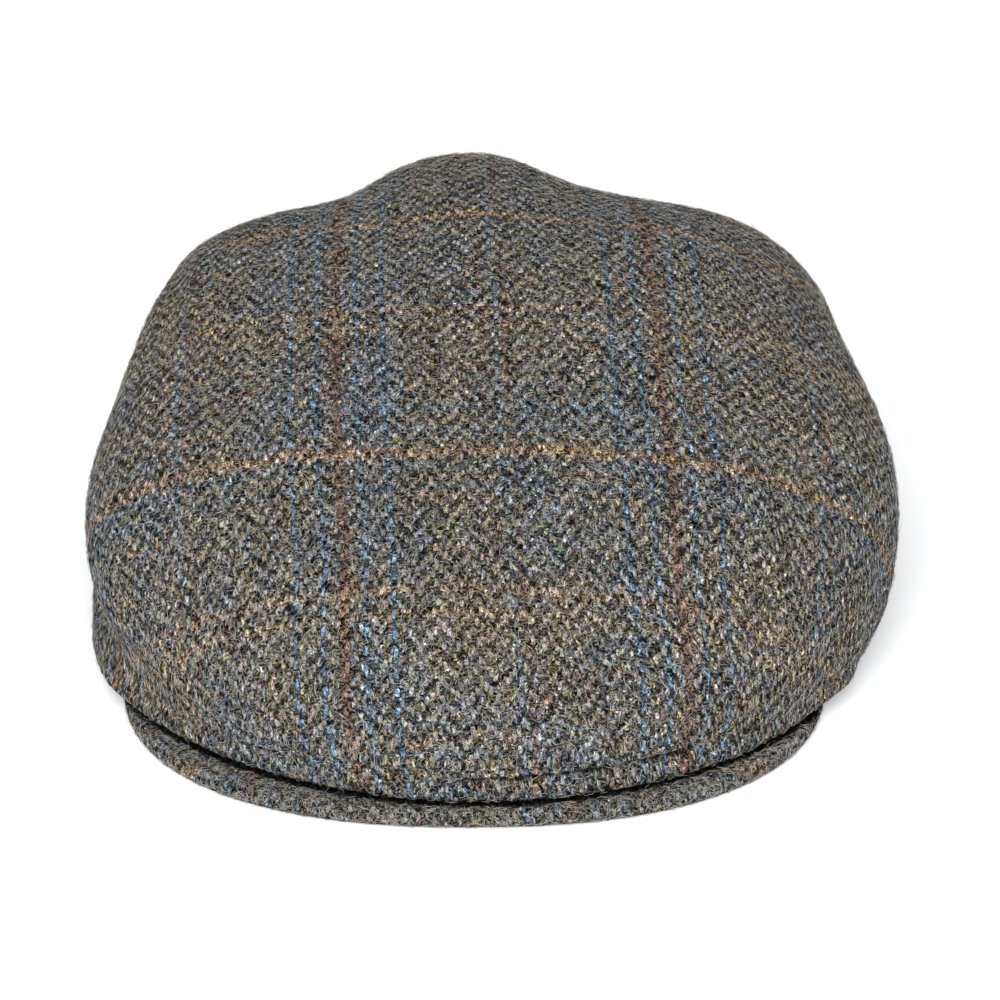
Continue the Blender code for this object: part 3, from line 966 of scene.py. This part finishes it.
def makeTone(raw, curled, weave, fibre):
    # How light each spot is, and how much of it is warp: rounded floats with edges frayed by the
    # fibres. Loose hairs are thin lines where a smooth noise passes its middle, here and there.
    _, warpDome, weftDome, own = weave
    cover = warpDome - weftDome * tweed["weftCover"] + fibre * tweed["fray"]
    warpShare = fadeIn(cover, *tweed["warpIn"])
    raised = calc("MAXIMUM", warpDome, weftDome * tweed["weftRaised"])
    # the floats are lighter on their crowns and darker in the gaps between them: painted shade
    tone = (warpShare * (tweed["warpTone"] - tweed["weftTone"]) + tweed["weftTone"]
            + fibre * tweed["fibreTone"] + (own - 0.5) * tweed["floatTone"]
            + (ownNoise("patch", raw) - 0.5) * tweed["patchTone"]
            + (raised - tweed["gapShadeBelow"]) * tweed["gapShade"])
    for scale, shift in tweed["hairs"]:
        off = calc("ABSOLUTE", noise(curled, scale, 0.0, 0.5, shift)[0] - 0.5)
        line = calc("MAXIMUM", 1.0 - off * tweed["hairThin"], 0.0)
        here = fadeIn(noise(raw, 0.5, 1.0, 0.5, shift + 5.0)[0], *tweed["hairIn"])
        tone = tone + line * here * tweed["hairTone"]
    return calc("POWER", calc("MAXIMUM", tone, tweed["darkest"]), tweed["gamma"]), warpShare


def makeTint(raw, curled):
    # cool to warm wool, in single fibres, in floats and in broad patches, with a little heather and
    # moss, and flecks of dyed wool a few floats wide
    temper = ((ownNoise("midHue", raw) + ownNoise("broadHue", raw)) * tweed["broadShare"]
              + ownNoise("fineHue", curled) * tweed["fineShare"])
    tint = blendColour(1.0, hueRamp("wool", temper), hueRamp("moss", ownNoise("mossHue", raw)), "MULTIPLY")
    fleckShare = fadeIn(ownNoise("fleck", pushPlace(raw, *pushes["fleck"])), *tweed["fleckIn"])
    return blendColour(fleckShare, tint, hueRamp("fleck", ownNoise("fleckHue", raw)))


def addCheck(tint, ends, picks, warpShare):
    # lays the stripes over the tint. Gives it and the share of the weft stripes.
    endTint, endShare = chart(ends, cloth["endRepeat"], check["ends"])
    pickTint, pickShare = chart(picks, cloth["pickRepeat"], check["picks"])
    coolTint, coolShare = chart(picks, cloth["pickRepeat"], check["coolPicks"])
    lastPick = cloth["repeatsBefore"] * cloth["pickRepeat"] + cloth["lastStripe"]
    pickShare = pickShare * (1.0 - warpShare * tweed["stripeUnder"]) * calc("LESS_THAN", picks, lastPick)
    along, across = tweed["stripeRun"]
    changed = hueRamp("stripe", ownNoise("stripeHue", vector(ends * along, picks * across)))
    tint = blendColour(coolShare, tint, coolTint)
    endShare = endShare * (warpShare * tweed["endUnder"] + (1 - tweed["endUnder"]))
    tint = blendColour(endShare, tint, endTint)
    return blendColour(pickShare, tint, blendColour(tweed["stripeChange"], pickTint, changed)), pickShare


def makeTweed(name, light):
    # herringbone and its check under a felt of fine fibres. light scales the whole; below 1 the copy is
    # darkened by painted shade.
    material, shader, raw = startMaterial(name)
    ends, picks, _ = addNode("SeparateXYZ", {0: pushPlace(raw, *pushes["wobble"])})
    weave = makeWeave(ends, picks)
    warpUp, warpDome, weftDome, _ = weave
    curled = pushPlace(pushPlace(raw, *pushes["curl"]), *pushes["fineCurl"])
    warpFibre, weftFibre, looseOne, looseTwo = [streaks(curled, *run) for run in fibres.values()]
    loose = calc("MAXIMUM", looseOne, looseTwo) - tweed["looseLess"]
    fibre = calc("MAXIMUM", choose(warpUp, warpFibre, weftFibre), loose) - tweed["fibreMiddle"]
    tone, warpShare = makeTone(raw, curled, weave, fibre)
    tint, pickShare = addCheck(makeTint(raw, curled), ends, picks, warpShare)
    # this attribute darkens the colour by painted shade in the groove under the lip, along the seams and
    # along the stitched line
    paintedShadeNode = material.node_tree.nodes.new("ShaderNodeAttribute")
    paintedShadeNode.attribute_name = "paintedShade"
    tone = tone * (pickShare * tweed["stripeTone"] + 1.0) * (1.0 - Spot(paintedShadeNode.outputs["Fac"])) * light
    colour = blendColour(1.0, tint, vector(tone, tone, tone), "MULTIPLY")
    lumps = calc("MAXIMUM", warpDome, weftDome * tweed["bumpWeft"]) + fibre * tweed["bumpFibre"]
    bump = addNode("Bump", {"Strength": 1.0, "Distance": tweed["bump"], "Height": lumps})[0]
    fill(shader, {"Base Color": colour, "Normal": bump, **tweed["shader"]})
    return material


# Wool colours of the hairs: how many of each in a hundred, and linear colour.
wools = (
    (44, (0.48, 0.455, 0.41)),
    (20, (0.27, 0.26, 0.24)),
    (12, (0.05, 0.046, 0.043)),
    (6, (0.20, 0.24, 0.29)),
    (10, (0.43, 0.36, 0.27)),
    (4, (0.25, 0.145, 0.095)),
    (4, (0.43, 0.38, 0.21)),
)


def makeWool(name):
    # each hair's own number, kept across its map, picks its colour
    material, shader, raw = startMaterial(name)
    stops, start = [], 0
    for share, colour in wools:
        stops.append((start / 100, colour))
        start += share
    own = addNode("SeparateXYZ", {0: raw})[0]
    fill(shader, {"Base Color": ramp(own, stops, True)[0], "Roughness": 0.8, "Specular IOR Level": 0.15})
    return material


# The table top fills the view. It glows a little, and more further out, so that the background stays white.
tableTop = {
    "corners": ((-4, -4), (4, -4), (4, 4), (-4, 4)),
    "height": -0.0001,
    "shader": {"Base Color": (0.92, 0.92, 0.93, 1.0), "Roughness": 0.7,
               "Emission Color": (0.98, 0.99, 1.0, 1.0)},
    "glow": {"From Min": 0.3, "From Max": 1.2, "To Min": 0.22, "To Max": 0.60},
}


def makeTable():
    mesh = bpy.data.meshes.new("table_top")
    corners = [(x, y, tableTop["height"]) for x, y in tableTop["corners"]]
    mesh.from_pydata(corners, [], [(0, 1, 2, 3)])
    table = addObject("table_top", mesh)
    material = bpy.data.materials.new("white_table")
    material.use_nodes = True
    nodes = material.node_tree.nodes
    spot = Spot(nodes.new("ShaderNodeTexCoord").outputs["Object"])
    away = addNode("VectorMath", {0: spot}, operation="LENGTH")[1]
    glow = addNode("MapRange", {"Value": away, **tableTop["glow"]}, interpolation_type="SMOOTHSTEP")[0]
    fill(nodes["Principled BSDF"], {**tableTop["shader"], "Emission Strength": glow})
    mesh.materials.append(material)


# Softboxes, all turned to the cap. Metres and watts.
lights = {
    "overhead": {"place": (-0.25, 0.1, 1.5), "size": 1.4, "power": 2.0},
    "front": {"place": (-0.18, -1.5, 1.2), "size": 1.3, "power": 48.5},
    "rightFill": {"place": (1.3, -0.4, 0.8), "size": 1.0, "power": 3.0},
}
litPlace = (0.0, 0.0, 0.04)
surround = {"Color": (0.96, 0.98, 1.0, 1.0), "Strength": 0.37}


def makeLights():
    for name, light in lights.items():
        lamp = bpy.data.lights.new(name, "AREA")
        lamp.shape = "SQUARE"
        lamp.size = light["size"]
        lamp.energy = light["power"]
        holder = addObject(name, lamp)
        holder.location = light["place"]
        toCap = Vector(litPlace) - Vector(light["place"])
        holder.rotation_euler = toCap.to_track_quat("-Z", "Y").to_euler()
    world = bpy.data.worlds.new("studio")
    world.use_nodes = True
    fill(world.node_tree.nodes["Background"], surround)
    scene.world = world
    scene.view_settings.view_transform = "Standard"
    scene.view_settings.look = "None"


# The camera looks from in front, 26 degrees down. aimRight and aimDown frame it as the photograph does.
camera = {
    "target": (crownShift[0], crownShift[1] - 0.011, 0.045),
    "elevation": math.radians(26),
    "distance": 1.0,
    "lens": 135.9,
    "nearest": 0.01,
    "aimRight": 0.0069,
    "aimDown": 0.0106,
}


def makeCamera():
    lens = bpy.data.cameras.new("photo_camera")
    lens.lens = camera["lens"]
    lens.clip_start = camera["nearest"]
    holder = addObject("photo_camera", lens)
    tilt = camera["elevation"]
    target = Vector(camera["target"])
    away = Vector((0.0, -math.cos(tilt), math.sin(tilt)))
    up = Vector((0.0, math.sin(tilt), math.cos(tilt)))
    holder.location = target + away * camera["distance"]
    aim = target + Vector((camera["aimRight"], 0.0, 0.0)) - up * camera["aimDown"]
    holder.rotation_mode = "QUATERNION"
    holder.rotation_quaternion = (aim - holder.location).to_track_quat("-Z", "Y")
    scene.camera = holder


crownTweed = makeTweed("crown_tweed", 1.0)
# the peak's tweed is the crown's, darkened all over: painted shade
peakTweed = makeTweed("peak_tweed", tweed["peakShadeScale"])
dress(makeTopPanel(), crownTweed, "crown_tweed", "top_panel")
for side, sign in (("right", 1), ("left", -1)):
    panel = makeSidePanel("side_cloth_" + side, sign, sideGrid[side + "End"])
    dress(panel, crownTweed, "crown_tweed", "side_panel_" + side)
dress(makePeak(), peakTweed, "peak_tweed", "peak")
print("cloth is made")

wool = makeWool("loose_wool")
topSkin, peakSkin = skins["top"], skins["peak"]
offPole = np.ones(topSkin[0].shape[:2])
offPole[:, :nap["poleRows"]] = 0.0
offPole[:, -nap["edgeRows"]:] = 0.0
for name, seed in (("top_nap_a", 11), ("top_nap_b", 12)):
    dress(makeNap(name, [(topSkin, nap["onTop"], offPole, True)], seed), wool)
sideParts = [(skins[name], nap["onSide"], np.ones(skins[name][0].shape[:2]), False)
             for name in ("side_cloth_right", "side_cloth_left")]
dress(makeNap("side_nap", sideParts, 13), wool)
onStrip = peakSkin[2] * (peakSkin[0][..., 2] > nap["lowest"])
dress(makeNap("peak_nap", [(peakSkin, nap["onPeak"], onStrip * 1.0, False)], 14), wool)
print("nap is made")
makeTable()
makeLights()
makeCamera()
